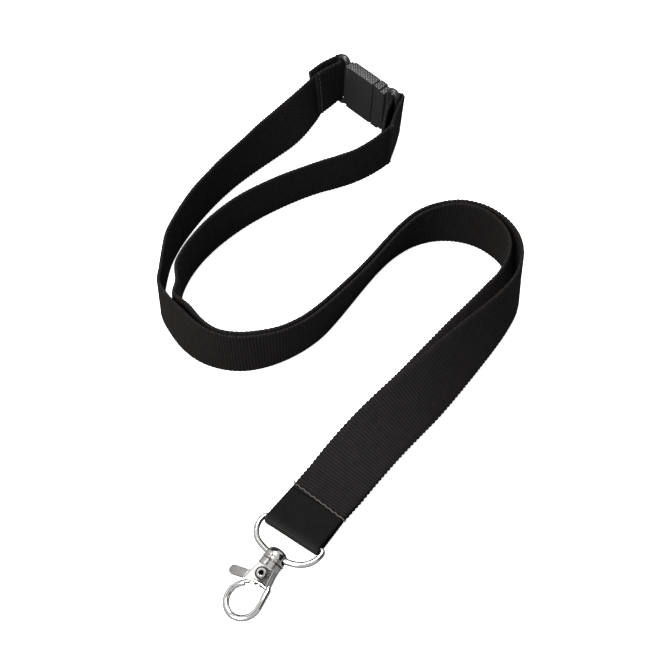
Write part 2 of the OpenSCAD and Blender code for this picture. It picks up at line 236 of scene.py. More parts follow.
# %% [markdown]
# **Grain and wear.** Moulded plastic has a fine spark-eroded grain, and polished metal has faint
# hairline scratches and a slightly uneven polish. Both come from noise on object coordinates,
# so they stay fixed to a piece when it moves.

# %% The grain group and the polish group
grain, grain_in, grain_out = new_group("moulded_grain", "Vector", {}, ("Height", "Speck"))
coarse = noise(grain, grain_in["Vector"], 2600.0, 3.0, 0.6)
away = add_node(grain, "TexVoronoi", {"Scale": 1500.0, "Vector": grain_in["Vector"]}).outputs["Distance"]
speck = math_node(grain, "SUBTRACT", 0.75, times(grain, away, 2.2), clamp=True)
feed(grain, grain_out, {"Height": math_node(grain, "SUBTRACT", coarse, away),
                        "Speck": times(grain, speck, coarse)})

polish, polish_in, polish_out = new_group("uneven_polish", "Vector", {}, ("Height", "Haze"))
stretched = add_node(polish, "Mapping", {
    "Scale": (1.0, 0.12, 1.0), "Rotation": (0.2, 0.1, 0.6), "Vector": polish_in["Vector"]}).outputs["Vector"]
hairlines = noise(polish, stretched, 4000.0, 3.0, 0.6)
waves = noise(polish, polish_in["Vector"], 420.0)
feed(polish, polish_out, {"Height": plus(polish, times(polish, hairlines, 0.1), waves),
                          "Haze": times(polish, hairlines, waves)})
print("grain and polish groups ready")

# %% [markdown]
# ## The finishes
# Every finish is a Principled shader, and all but the thread are fed by one of the groups. A colour
# ramp turns the mask into a small range of colours, because no real surface is one flat colour.

# %% Helpers for finishes
def new_finish(name, coordinates):
    """A material, its tree, its Principled shader and the coordinates that its pattern reads."""
    material = bpy.data.materials.new(name)
    material.use_nodes = True
    tree = material.node_tree
    where = add_node(tree, "TexCoord", {}).outputs[coordinates]
    return material, tree, tree.nodes["Principled BSDF"], where


def use_group(tree, group, inputs):
    """Places a group in a material and feeds it. Returns its masks."""
    return add_node(tree, "Group", inputs, node_tree=group).outputs


def colour_range(tree, mask, dark, light, start=0.0, end=1.0):
    """Two colours with the mask between them."""
    ramp = add_node(tree, "ValToRGB", {"Fac": mask})
    for stop, place, colour in zip(ramp.color_ramp.elements, (start, end), (dark, light)):
        stop.position = place
        stop.color = (*colour, 1)
    return ramp.outputs["Color"]


def mix_colours(tree, share, first, second, blend="MIX"):
    """The second colour laid over the first by its share."""
    return add_node(tree, "Mix", {"Factor": share, "A": first, "B": (*second, 1)},
                    data_type="RGBA", blend_type=blend).outputs["Result"]


def bumps(tree, height, depth, strength=1.0):
    """Fine relief that is too small to model; the depth is in metres."""
    return add_node(tree, "Bump", {"Height": height, "Distance": depth, "Strength": strength}).outputs["Normal"]


# %% [markdown]
# ** Webbing.** Black polyester is never quite black: the crowns of the yarns catch the light and
# have a warm sheen, and the gaps between them are deep black. The base colour paints this in, a
# painted highlight on the crowns and painted shade in the gaps, over a random uneven tone. The
# folded end piece is woven finer than the strap, and its darker colours are painted shade for its
# tilt down towards the ring, so it gets its own values of the same group.

# %% Webbing finishes
RIB_PITCH, FINE_RIB_PITCH, YARN_DEPTH = 1.05, 0.7, 0.00012


def webbing_finish(name, rib_pitch, yarn_pitch, dark, light, sheen):
    """Woven polyester with ribs across the strap."""
    material, tree, shader, uv = new_finish(name, "UV")
    woven = use_group(tree, weave, {"UV": uv, "Rib pitch": rib_pitch * MM, "Yarn pitch": yarn_pitch * MM})
    feed(tree, shader, {
        "Base Color": colour_range(tree, woven["Lightness"], dark, light, 0.15, 0.95),
        "Roughness": value_range(tree, woven["Lightness"], 0.85, 0.6), "Specular IOR Level": 0.12,
        "Sheen Weight": sheen, "Sheen Roughness": 0.45, "Sheen Tint": (1.0, 0.94, 0.88, 1),
        "Normal": bumps(tree, woven["Height"], YARN_DEPTH, 0.8)})
    return material


def paint_fold_highlight(material, fold_at, half_width, fold_highlight_colour):
    """Lightens the yarns along a fold: a painted highlight where the bend catches the light."""
    tree = material.node_tree
    shader = tree.nodes["Principled BSDF"]
    woven_colour = shader.inputs["Base Color"].links[0].from_socket
    uv = add_node(tree, "TexCoord", {}).outputs["UV"]
    along = add_node(tree, "SeparateXYZ", {0: uv}).outputs["X"]
    away = math_node(tree, "ABSOLUTE", math_node(tree, "SUBTRACT", along, fold_at * MM))
    near = math_node(tree, "SUBTRACT", 1.0, math_node(tree, "DIVIDE", away, half_width * MM), clamp=True)
    feed(tree, shader, {"Base Color": mix_colours(tree, near, woven_colour, fold_highlight_colour, "ADD")})


webbing = webbing_finish("webbing", RIB_PITCH, 0.55, (0.0008, 0.00075, 0.00075), (0.0085, 0.0074, 0.007), 0.015)
# The end piece's darker colours are painted shade for its tilt down towards the ring.
end_webbing = webbing_finish(
    "end_webbing", FINE_RIB_PITCH, 0.45, (0.0005, 0.0005, 0.0005), (0.003, 0.0028, 0.0027), 0.006)
print("webbing finishes:", webbing.name, end_webbing.name)

# %% [markdown]
# ** Thread, plastic and nickel.** Thread is a twisted pair of yarns, so its pattern runs round it
# in a slant. The buckle is a matt moulding with a grain on its flat faces and rows of small raised
# dots on its top, whose highlights are painted in as bright dots on faces that look up, without
# the raised shape. Its arched ends have a smoother, glossier surface and a lighter colour, which
# paints in their glossy highlight. The metal is nickel plate, nearly white and mirror-like. The
# hook's front is crowned: it bulges too little to be worth modelling, but enough to mirror a
# bright thing on one side and a dark thing on the other.

# %% Thread, plastic and nickel finishes
TWIST_DEPTH, GRAIN_DEPTH, POLISH_DEPTH = 0.00006, 0.00005, 0.00004
DOT_PITCH, DOT_R, DOT_HIGHLIGHT_COLOUR, DOT_HIGHLIGHT_STRENGTH = 0.00095, 0.2, (0.4, 0.38, 0.37), 0.6
CROWN_FALL = 14.0


def thread_finish(name, dark, light):
    """Twisted polyester thread; its UV map runs along and round it."""
    material, tree, shader, uv = new_finish(name, "UV")
    twist = add_node(tree, "TexWave", {"Scale": 900.0, "Distortion": 0.6, "Vector": uv},
                     bands_direction="DIAGONAL").outputs["Fac"]
    feed(tree, shader, {"Base Color": colour_range(tree, twist, dark, light), "Roughness": 0.6,
                        "Sheen Weight": 0.1, "Normal": bumps(tree, twist, TWIST_DEPTH)})
    return material


def plastic_finish(name, dark, light, rough_low, rough_high, relief, dot_highlight_share=0.0):
    """Black moulded acetal with a fine grain, and small bright dots on faces that look up: painted highlights
    of its raised dots.
    """
    material, tree, shader, place = new_finish(name, "Object")
    grained = use_group(tree, grain, {"Vector": place})
    dots = add_node(tree, "TexVoronoi", {"Scale": 1 / DOT_PITCH, "Randomness": 0.2, "Vector": place},
                    voronoi_dimensions="2D").outputs["Distance"]
    normal = add_node(tree, "NewGeometry", {}).outputs["Normal"]
    up = add_node(tree, "SeparateXYZ", {"Vector": normal}).outputs["Z"]
    # The dots are brightest on faces that look straight up: painted highlights, not raised shape.
    lit = times(tree, math_node(tree, "LESS_THAN", dots, DOT_R), times(tree, up, DOT_HIGHLIGHT_STRENGTH))
    ground = colour_range(tree, grained["Speck"], dark, light, 0.0, 0.5)
    feed(tree, shader, {
        "Base Color": mix_colours(tree, times(tree, lit, dot_highlight_share), ground, DOT_HIGHLIGHT_COLOUR),
        "Roughness": value_range(tree, grained["Speck"], rough_high, rough_low),
        "Specular IOR Level": 0.5, "Normal": bumps(tree, grained["Height"], GRAIN_DEPTH, relief)})
    return material


def nickel_finish(name, dark, light, rough_low, rough_high, relief, crown_at=None, crown_way=None):
    """Polished nickel plate with faint hairlines; a crowned one bulges a little across its width."""
    material, tree, shader, place = new_finish(name, "Object")
    polished = use_group(tree, polish, {"Vector": place})
    if crown_at is None:
        normal = bumps(tree, polished["Height"], POLISH_DEPTH, relief)
    else:
        own = add_node(tree, "VectorMath", {0: place, 1: crown_at}, operation="SUBTRACT").outputs["Vector"]
        across = add_node(tree, "VectorMath", {0: own, 1: crown_way}, operation="DOT_PRODUCT").outputs["Value"]
        bulge = times(tree, times(tree, across, across), -CROWN_FALL)
        fine = times(tree, polished["Height"], POLISH_DEPTH * relief)
        normal = bumps(tree, plus(tree, bulge, fine), 1.0)
    feed(tree, shader, {
        "Base Color": colour_range(tree, polished["Haze"], light, dark, 0.1, 0.6),
        "Roughness": value_range(tree, polished["Haze"], rough_low, rough_high),
        "Metallic": 1.0, "Normal": normal})
    return material


seam_thread = thread_finish("seam_thread", (0.018, 0.016, 0.015), (0.075, 0.068, 0.063))
black_thread = thread_finish("black_thread", (0.002, 0.002, 0.002), (0.012, 0.011, 0.01))
grained_plastic = plastic_finish(
    "grained_plastic", (0.006, 0.0058, 0.006), (0.05, 0.047, 0.046), 0.42, 0.62, 0.6, 0.8)
# The arched ends' lighter colour is a painted highlight that stands in for their gloss.
smooth_plastic = plastic_finish(
    "smooth_plastic", (0.018, 0.0175, 0.0172), (0.04, 0.0385, 0.038), 0.26, 0.36, 0.1)
plated = ((0.8, 0.785, 0.77), (0.97, 0.955, 0.94), 0.1, 0.2, 0.35)
nickel = nickel_finish("nickel", *plated)
# A near-black nickel that paints the shade in the recess round the rivet and inside the rivet's bore.
painted_shade_nickel = nickel_finish("painted_shade_nickel", (0.008, 0.008, 0.008), (0.03, 0.028, 0.027), 0.3, 0.5, 0.3)
brushed_nickel = nickel_finish(
    "brushed_nickel", (0.36, 0.352, 0.345), (0.58, 0.568, 0.556), 0.22, 0.36, 0.6)
print("finishes:", ", ".join(m.name for m in bpy.data.materials))

# %% [markdown]
# ## The strap's route
# The strap lies in loose curves on one edge, and its two strands run side by side. Each route
# point gives the place of its lower edge, how far the top leans, a lift off the floor and the
# strand's side of the pair. A smooth curve through the points gives a cross-section frame at
# every rib: its middle, the way across the webbing, and the way out of its face.

# %% Route points of the strands
STRAP_W, STRAP_T, PLY_PITCH = 20.0, 1.1, 1.6


def full_rows(rows):
    """Rows of five numbers; a row may leave out its last zeros."""
    return [row + [0] * (5 - len(row)) for row in rows]


outer_own = full_rows([
    [-9.7, 99.6, -8, 0.5], [-14.4, 90.8, -13, 0.2], [-19, 84.4, -14], [-24.2, 78.9, -11], [-29.8, 73.4, -7],
    [-35.4, 67.8, -2], [-41, 61.6, 1], [-45.8, 55.3, 2], [-50.1, 48.8, 3], [-54, 42, 3], [-57.6, 34.8, 4],
    [-60.7, 27.2, 5], [-62.8, 19.4, 5], [-63.6, 11.2, 6], [-63.4, 3.4, 6, 0, -0.3], [-62.2, -3, 4, 0, -0.8]])
inner_own = full_rows([
    [15.9, 70.2, 2, 0.7], [11.4, 67, 4, 0.2], [4.6, 63, 7], [-2.2, 60, 8], [-9, 57.4, 9], [-15.4, 54.2, 9],
    [-21.7, 50.5, 8], [-27.8, 46.4, 7], [-33.7, 41.9, 6], [-39.1, 37, 5], [-44.2, 31.6, 5], [-48.9, 25.6, 5],
    [-52.9, 19, 5], [-56, 12, 4, 0, 0.2], [-57.8, 5, 3, 0, 0.5], [-57.8, -2, 5, 0, 0.8]])
shared = full_rows([
    [-59, -9.2, 8, -3], [-54, -16.4, 12, -4], [-48, -21.6, 8, -2], [-41.1, -24.5, 2], [-33.9, -25.4],
    [-26.8, -24.2, -2], [-20, -21.4, -5], [-13.4, -17.2, -6], [-7.5, -11.8, -6], [-2.5, -5.2, -8],
    [2.4, 2.2, -11], [7.5, 10, -13], [13, 17.8, -13], [19.4, 25, -11], [26.8, 30.4, -7], [35.1, 33.2, -3],
    [43.5, 33, 2], [51.5, 30, 3, -1], [57.8, 24.4, 2, -3], [61.8, 16.8, 0, -6], [63, 8, -4, -10],
    [61.2, -1.4, -9, -13], [57, -9.8, -15, -15], [52, -17.6, -22, -14], [46.8, -25, -30, -12],
    [41.6, -32.2, -38, -9], [36.4, -39.2, -46, -6], [31.2, -45.8, -53, -3], [25.8, -52, -60],
    [20.6, -58, -68, 0, 0.1], [15.6, -64, -76, 0, 0.2], [10.7, -70, -84, 0, 0.4], [6, -76, -90, 0, 0.6],
    [0.7, -83, -96, 0, 0.6]])
outer_route = outer_own + [[x, y, lean + more, lift, -1] for x, y, lean, more, lift in shared]
inner_route = inner_own + [[x, y, lean, lift, 1] for x, y, lean, more, lift in shared]
print("route points:", len(outer_route), "and", len(inner_route))


# %% Smooth curves and cross-section frames
def smooth_curve(points, steps):
    """A Catmull-Rom curve through rows of numbers, every column alike."""
    p = np.array(points, float)
    p = np.vstack([2 * p[0] - p[1], p, 2 * p[-1] - p[-2]])
    u = np.linspace(0, 1, steps, endpoint=False)[:, None]
    rows = [
        0.5 * (2 * b + u * (c - a) + u**2 * (2 * a - 5 * b + 4 * c - d) + u**3 * (3 * b - 3 * c + d - a))
        for a, b, c, d in zip(p[:-3], p[1:-2], p[2:-1], p[3:])]
    return np.vstack(rows + [p[-2][None]])


def headings(xy):
    """The way each point of a flat curve runs, from the point before to the point after."""
    before, after = np.vstack([xy[:1], xy[:-1]]), np.vstack([xy[1:], xy[-1:]])
    return np.arctan2(after[:, 1] - before[:, 1], after[:, 0] - before[:, 0])


def strap_frames(points, width):
    """Rows of middle, across and out-of-face, 9 numbers each, for webbing on its edge."""
    p = np.array(points, float)
    way = headings(p[:, :2])
    left = np.stack([-np.sin(way), np.cos(way), 0 * way], 1)
    up = np.array([0.0, 0.0, 1.0])
    lean = np.radians(p[:, 2])[:, None]
    across = np.cos(lean) * up + np.sin(lean) * left
    out = np.cos(lean) * left - np.sin(lean) * up
    side = p[:, 4:5]
    rise = ((np.abs(side) * PLY_PITCH / 2 + STRAP_T / 2) * np.abs(np.sin(lean))
            + np.maximum(0, -width * np.cos(lean)) + p[:, 3:4])
    foot = np.hstack([p[:, :2], rise])
    middle = foot + width / 2 * across + side * PLY_PITCH / 2 * out
    return np.hstack([middle, across, out])


def even_frames(frames, step):
    """The same run with a frame at every even step along its middle, and each frame's distance."""
    along = np.concatenate([[0], np.cumsum(np.linalg.norm(np.diff(frames[:, :3], axis=0), axis=1))])
    count = max(2, round(along[-1] / step))
    at = np.linspace(0, along[-1], count + 1)
    f = np.stack([np.interp(at, along, column) for column in frames.T], 1)
    across = f[:, 3:6] / np.linalg.norm(f[:, 3:6], axis=1)[:, None]
    out = f[:, 6:9] - (f[:, 6:9] * across).sum(1)[:, None] * across
    return np.hstack([f[:, :3], across, out / np.linalg.norm(out, axis=1)[:, None]]), at


# %% [markdown]
# ## Webbing strips
# A strip starts as one flat grid: its long way becomes the way along the strap, and its short
# way goes once round the flat section, face, selvedge, face, selvedge. The grid's two long sides
# meet and are welded, and the ends are filled, so the strip is one closed skin. The ribs and the
# scalloped selvedges are real shape, four rings of points to a rib, and only the yarns within a
# rib are left to the finish.

# %% The strip builder
SELVEDGE_RIBS, RINGS_PER_RIB, WELD = 1.5, 4, 1e-7


def section_round(width, thickness, face_points, edge_points):
    """Once round a flat section with round selvedges: rows of across, out, and 1 on a selvedge."""
    r = thickness / 2
    flat = np.linspace(-width / 2 + r, width / 2 - r, face_points)
    bend = np.linspace(90, -90, edge_points + 2)[1:-1]
    rows = [[a, r, 0] for a in flat]
    rows += [[width / 2 - r + r * cos(radians(b)), r * sin(radians(b)), 1] for b in bend]
    rows += [[a, -r, 0] for a in flat[::-1]]
    rows += [[-width / 2 + r - r * cos(radians(b)), -r * sin(radians(b)), 1] for b in bend]
    return np.array(rows + rows[:1])


def webbing_strip(name, run, width, pitch, material, rib=0.1, scallop=0.28, face_points=12):
    """A closed ribbed strip along a run of frames. Returns the object and its length in mm."""
    frames, at = even_frames(run, pitch / RINGS_PER_RIB)
    section = section_round(width, STRAP_T, face_points, 3)
    rings, round_points = len(frames), len(section)
    bm = bmesh.new()
    uv = bm.loops.layers.uv.new("weave_uv")
    bmesh.ops.create_grid(bm, x_segments=rings - 1, y_segments=round_points - 1, size=1)
    for face in bm.faces:
        for loop in face.loops:
            i = round((loop.vert.co.x + 1) / 2 * (rings - 1))
            j = round((loop.vert.co.y + 1) / 2 * (round_points - 1))
            loop[uv].uv = (at[i] * MM, section[j][0] * MM)
    mesh = bpy.data.meshes.new(name)
    bm.to_mesh(mesh)
    bm.free()
    flat = np.zeros(len(mesh.vertices) * 3)
    mesh.vertices.foreach_get("co", flat)
    flat = flat.reshape(-1, 3)
    i = np.rint((flat[:, 0] + 1) / 2 * (rings - 1)).astype(int)
    j = np.rint((flat[:, 1] + 1) / 2 * (round_points - 1)).astype(int)
    crown = 0.5 + 0.5 * np.cos(math.tau * at[i] / pitch)
    loops = np.cos(math.tau * at[i] / (SELVEDGE_RIBS * pitch))
    on_edge = section[j, 2]
    out = section[j, 1] + np.sign(section[j, 1]) * rib * crown * (1 - on_edge)
    across = section[j, 0] + np.sign(section[j, 0]) * scallop / 2 * loops * on_edge
    f = frames[i]
    place = f[:, :3] + across[:, None] * f[:, 3:6] + out[:, None] * f[:, 6:9]
    mesh.vertices.foreach_set("co", (place * MM).ravel())
    bm = bmesh.new()
    bm.from_mesh(mesh)
    close_shape(bm, WELD)
    return add_piece(name, bm, [material], mesh), at[-1]


def close_shape(bm, weld=1e-4):
    """Welds what meets, fills the ends and turns every face outwards."""
    bmesh.ops.remove_doubles(bm, verts=bm.verts, dist=weld)
    ends = [e for e in bm.edges if e.is_boundary]
    if ends:
        bmesh.ops.holes_fill(bm, edges=ends, sides=0)
    bmesh.ops.recalc_face_normals(bm, faces=bm.faces)


def add_piece(name, bm, materials, mesh=None, sharp=None):
    """Turns a finished bmesh, already in metres and in place, into a smooth-shaded object."""
    mesh = mesh or bpy.data.meshes.new(name)
    for face in bm.faces:
        face.smooth = True
    if sharp is not None:
        for edge in bm.edges:
            if len(edge.link_faces) == 2 and edge.calc_face_angle(0) > radians(sharp):
                edge.smooth = False
    bm.to_mesh(mesh)
    bm.free()
    for material in materials:
        mesh.materials.append(material)
    piece = bpy.data.objects.new(name, mesh)
    bpy.context.scene.collection.objects.link(piece)
    return piece


def turned(turn, vector):
    """A vector turned about x, then y, then z, in degrees."""
    return np.array(Euler([radians(a) for a in turn]).to_matrix() @ Vector(vector))


# %% [markdown]
# ## The buckle's and ring's places
# The webbing loops wrap the buckle's two bars and the D-ring's straight bar, so those places
# come before the loops. They are the same numbers that the frame was built from.

# %% Places of the buckle, the ring and the hook
BUCKLE_AT, BUCKLE_TURN = np.array([11, 99.6, 13.2]), (0, 3, -45)
BAR_REACH, BAR_D, LOOP_W = 15.8, 2.6, 19.6
RING_AT, RING_TURN, RING_WIRE = np.array([-14.2, -86.8, 3.9]), (-4, -7, -36.5), 1.8
SOCKET_TAIL, PLUG_TAIL = [-9.4, 100.4, -6, 3.6], [17.6, 72, 1, 2]
WRAP_PLAY, SEWN_MOVE = 0.1, 0.3


def loop_run(tail, bar_side, tail_spread=1.45, loop_spread=1.9):
    """Frames of a webbing loop from its sewn tail, round a buckle bar and back to the seam."""
    foot = BUCKLE_AT + turned(BUCKLE_TURN, (bar_side * BAR_REACH, 0, -LOOP_W / 2))
    way = math.atan2(foot[1] - tail[1], foot[0] - tail[0])
    left = np.array([-sin(way), cos(way)])
    r = BAR_D / 2 + WRAP_PLAY + STRAP_T / 2
    bulge = 0.5 * (np.array(tail[:2]) + foot[:2])
    bulge_lift = 0.5 * (tail[3] + foot[2])
    near, far = np.array(tail[:2]), foot[:2]
    rows = [[*(near + tail_spread * left), -tail[2], tail[3], 0],
            [*(bulge + loop_spread * left), -tail[2] / 2, bulge_lift, 0]]
    for a in range(90, -91, -30):
        o = way + radians(a)
        spot = far + r * np.array([cos(o), sin(o)])
        rows.append([*spot, -BUCKLE_TURN[1] * sin(radians(a)), foot[2], 0])
    rows += [[*(bulge - loop_spread * left), tail[2] / 2, bulge_lift, 0],
             [*(near - tail_spread * left), tail[2], tail[3], 0]]
    return strap_frames(smooth_curve(rows, 10), LOOP_W)


def sewn_end_frame():
    """The middle between both strands at the strap's sewn end, and its two directions."""
    run = strap_frames(smooth_curve(inner_route, 10), STRAP_W)[-1]
    return run[:3] - PLY_PITCH / 2 * run[6:9], run[3:6], run[6:9]


def fold_run():
    """Frames of the short webbing from one face of the sewn end, round the ring's bar, to the other."""
    middle, across, out = sewn_end_frame()
    along, ring_out, ring_up = (turned(RING_TURN, v) for v in ((1, 0, 0), (0, -1, 0), (0, 0, 1)))
    r = RING_WIRE / 2 + WRAP_PLAY + STRAP_T / 2
    start = middle + SEWN_MOVE * np.cross(across, -out)
    rows = [np.concatenate([start - PLY_PITCH / 2 * out, across, out])]
    for a in np.linspace(-90, 90, 9):
        o = cos(radians(a)) * ring_out + sin(radians(a)) * ring_up
        rows.append(np.concatenate([RING_AT + r * o, -along, -o]))
    rows.append(np.concatenate([start + PLY_PITCH / 2 * out, across, -out]))
    return smooth_curve(rows, 10)


# %% [markdown]
# ## The two strands and the three loops
# The outer strand and its loop are sewn to the socket half and stay at rest. The inner strand is
# sewn to the plug half's loop, which moves when the buckle parts; the strand itself is fixed in
# place and rides on no body.

STRAND_STEPS = 16
outer_run, inner_run = (
    strap_frames(smooth_curve([under_the_loop] + route, STRAND_STEPS), STRAP_W)
    for under_the_loop, route in (([-8.2, 102.6, -6, 1.2, 0], outer_route),
                                  ([18.6, 72.4, 1, 1.2, 0], inner_route)))
socket_run, plug_run = loop_run(SOCKET_TAIL, -1), loop_run(PLUG_TAIL, 1)
for name, run, width, body, node, held, support in (
        ("outer_strap", outer_run, STRAP_W, "root", "outer_strand", "laid", "inner_strap"),
        ("inner_strap", inner_run, STRAP_W, None, "inner_strand", "laid", "outer_strap"),
        ("ring_webbing_fold", fold_run(), STRAP_W, "root", "ring_loop", "folded", "d_ring_wire"),
        ("socket_webbing_loop", socket_run, LOOP_W, "root", "socket_loop", "folded", "buckle_socket_shell"),
        ("plug_webbing_loop", plug_run, LOOP_W, "plug_half", "plug_loop", "folded", "buckle_plug_shell")):
    if node == "ring_loop":
        piece, length = webbing_strip(name, run, width, FINE_RIB_PITCH, end_webbing, rib=0.05, scallop=0.12)
        # The end piece's fold gets a lighter band: a painted highlight along the bend.
        paint_fold_highlight(end_webbing, length / 2, 4.0, (0.012, 0.0115, 0.011))
    else:
        piece, length = webbing_strip(name, run, width, RIB_PITCH, webbing)
    if body:
        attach(piece, body)
    else:
        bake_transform(piece)
    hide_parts(node)
    print(piece.name, "is", round(length, 1), "mm long,", len(piece.data.polygons), "faces")

# %% [markdown]
# ## Sewing thread
# A lockstitch shows as a row of short stitches with a dip between them. One thread that rises
# over the webbing and dives at every stitch looks like that from both near and far. The ring's
# seam runs a little aslant and has a cut tail at each end.

# %% Thread builder and the three seams
STITCHES, STITCH_RISE, STITCH_SIDE = 9, 0.16, 0.14


def sew(name, points, diameter, material, body, node):
    """A round thread along a list of places in mm, swept with a small circle, on its body."""
    line = smooth_curve(points, 5)
    bm = bmesh.new()
    uv = bm.loops.layers.uv.new("thread_uv")
    corners = 8
    bmesh.ops.create_grid(bm, x_segments=len(line) - 1, y_segments=corners, size=1)
    ahead = np.gradient(line, axis=0)
    ahead /= np.linalg.norm(ahead, axis=1)[:, None]
    side = np.cross(ahead, [0.1, 0.2, 1.0])
    side /= np.linalg.norm(side, axis=1)[:, None]
    top = np.cross(side, ahead)
    length = np.concatenate([[0], np.cumsum(np.linalg.norm(np.diff(line, axis=0), axis=1))])
    for vert in bm.verts:
        i = round((vert.co.x + 1) / 2 * (len(line) - 1))
        j = round((vert.co.y + 1) / 2 * corners)
        for loop in vert.link_loops:
            loop[uv].uv = (length[i] * MM, j / corners * math.pi * diameter * MM)
        a = math.tau * j / corners
        vert.co = Vector((line[i] + diameter / 2 * (cos(a) * side[i] + sin(a) * top[i])) * MM)
    close_shape(bm, WELD)
    piece = add_piece(name, bm, [material])
    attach(piece, body)
    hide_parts(node)


def seam_points(middle, across, out, along, width, height, slant, tails):
    """A wavy line across the webbing: up over each stitch and down between stitches."""
    points = []
    for k in range(STITCHES * 4 + 1):
        t, quarter = k / (STITCHES * 4) - 0.5, k * math.tau / 4
        points.append(middle + t * width * across + (height + STITCH_RISE * cos(quarter)) * out
                      + (slant * t + STITCH_SIDE * sin(quarter)) * along)
    for end, (out_tail, along_tail, drop) in zip((0, -1), tails):
        sign = -1 if end == 0 else 1
        tip = points[end] + sign * out_tail * across + along_tail * along - drop * out
        half = points[end] + sign * out_tail * 0.5 * across + along_tail * 0.3 * along - drop * 0.2 * out
        points = [tip, half] + points if end == 0 else points + [half, tip]
    return np.array(points)


middle, across, out = sewn_end_frame()
along = np.cross(across, out)
sew("ring_seam_thread", seam_points(
    middle + 0.2 * along, across, out, along, STRAP_W - 0.6, PLY_PITCH + 0.35, 1.4,
    ((1.5, -0.3, 0.5), (0.4, 1.0, 0.2))), 0.42, seam_thread, "root", "ring_stitching")
for name, run, body, node in (("socket_seam_thread", socket_run, "root", "socket_loop_stitching"),
                              ("plug_seam_thread", plug_run, "plug_half", "plug_loop_stitching")):
    tail = run[-1]
    along = np.cross(tail[3:6], tail[6:9])
    sew(name, seam_points(
        tail[:3] + 1.2 * along, tail[3:6], tail[6:9], along, LOOP_W - 1, STRAP_T / 2 + 0.12, 0.3,
        ((0.2, 0.4, 0.3), (0.2, -0.3, 0.3))), 0.4, black_thread, body, node)
print("three seams sewn")

# %% [markdown]
# ## Tools for the hard parts
# The hard parts are drawn about their own origins, in millimetres, and put in place at the end.
# Round bars are a circle that is pushed and turned along the bar, turned parts are a profile spun
# about an axis, and holes and slots are cut with a second shape, as a drill or mould would.

# %% Helpers for bars, turned parts and cuts
SHARP_EDGE = 35


def placed(at, turn):
    """The matrix from a part's own millimetres to the model's metres."""
    rotation = Euler([radians(a) for a in turn]).to_matrix().to_4x4()
    return Matrix.Translation(Vector(at) * MM) @ rotation @ Matrix.Scale(MM, 4)


def edges_of(geometry):
    """The edges among what an operator made."""
    return [g for g in geometry if isinstance(g, bmesh.types.BMEdge)]


def verts_of(geometry):
    """The points among what an operator made."""
    return [g for g in geometry if isinstance(g, bmesh.types.BMVert)]


def rim_points(edges):
    """The points at the end of a bar."""
    return list({v for e in edges for v in e.verts})


def start_bar(bm, matrix, corners):
    """The end circle of a bar, 1 mm in radius before the matrix."""
    made = bmesh.ops.create_circle(bm, cap_ends=False, segments=corners, radius=1, matrix=matrix)
    return list({e for v in made["verts"] for e in v.link_edges})


def push_bar(bm, edges, step):
    """Runs a bar on in a straight line."""
    made = bmesh.ops.extrude_edge_only(bm, edges=edges)["geom"]
    bmesh.ops.translate(bm, verts=verts_of(made), vec=step)
    return edges_of(made)


def turn_bar(bm, edges, centre, axis, degrees, steps):
    """Runs a bar on round a bend."""
    made = bmesh.ops.spin(bm, geom=edges + rim_points(edges), cent=centre, axis=axis, angle=radians(degrees),
                          steps=steps, use_duplicate=False, use_merge=False)
    return edges_of(made["geom_last"])


def turned_part(profile, axis, steps=48):
    """A profile of (radius, height) points spun about y or z."""
    bm = bmesh.new()
    spots = [bm.verts.new((r, h, 0) if axis == "y" else (r, 0, h)) for r, h in profile]
    rim = [bm.edges.new(pair) for pair in zip(spots[:-1], spots[1:])]
    if profile[0][0] > 0:
        rim.append(bm.edges.new((spots[-1], spots[0])))
    bmesh.ops.spin(bm, geom=spots + rim, cent=(0, 0, 0), axis=(0, 1, 0) if axis == "y" else (0, 0, 1),
                   angle=math.tau, steps=steps, use_merge=True, use_duplicate=False)
    bmesh.ops.remove_doubles(bm, verts=bm.verts, dist=1e-4)
    return bm


def rounded_box(low, high, radius, segments=3):
    """A box between two corners with every edge rounded."""
    bm = bmesh.new()
    low, high = Vector(low), Vector(high)
    matrix = Matrix.Translation((low + high) / 2) @ Matrix.Diagonal((*(high - low), 1))
    made = bmesh.ops.create_cube(bm, size=1, matrix=matrix)
    edges = list({e for v in made["verts"] for e in v.link_edges})
    if radius:
        bmesh.ops.bevel(bm, geom=edges, offset=radius, offset_type="OFFSET", segments=segments,
                        profile=0.5, affect="EDGES", material=-1)
    return bm


def plate(outline, low, high, radius, segments=3):
    """A flat plate with a drawn outline and rounded rims."""
    bm = bmesh.new()
    face = bm.faces.new([bm.verts.new((x, y, low)) for x, y in outline])
    made = bmesh.ops.extrude_face_region(bm, geom=[face])["geom"]
    bmesh.ops.translate(bm, verts=verts_of(made), vec=(0, 0, high - low))
    rims = [e for e in bm.edges if abs(e.verts[0].co.z - e.verts[1].co.z) < 1e-6]
    bmesh.ops.bevel(bm, geom=rims, offset=radius, offset_type="OFFSET", segments=segments,
                    profile=0.5, affect="EDGES", material=-1)
    return bm


def bent_bar(start, corners, *moves):
    """A closed bar; each move is a step straight on, or a bend's centre, axis, degrees and steps."""
    bm = bmesh.new()
    edges = start_bar(bm, start, corners)
    for move in moves:
        edges = push_bar(bm, edges, move[0]) if len(move) == 1 else turn_bar(bm, edges, *move)
    close_shape(bm)
    return bm


def cut_shape(shape, *cutters):
    """Takes the cutters away from the shape one by one; all are closed and in millimetres."""
    for cutter in cutters:
        shape = cut_once(shape, cutter)
    return shape


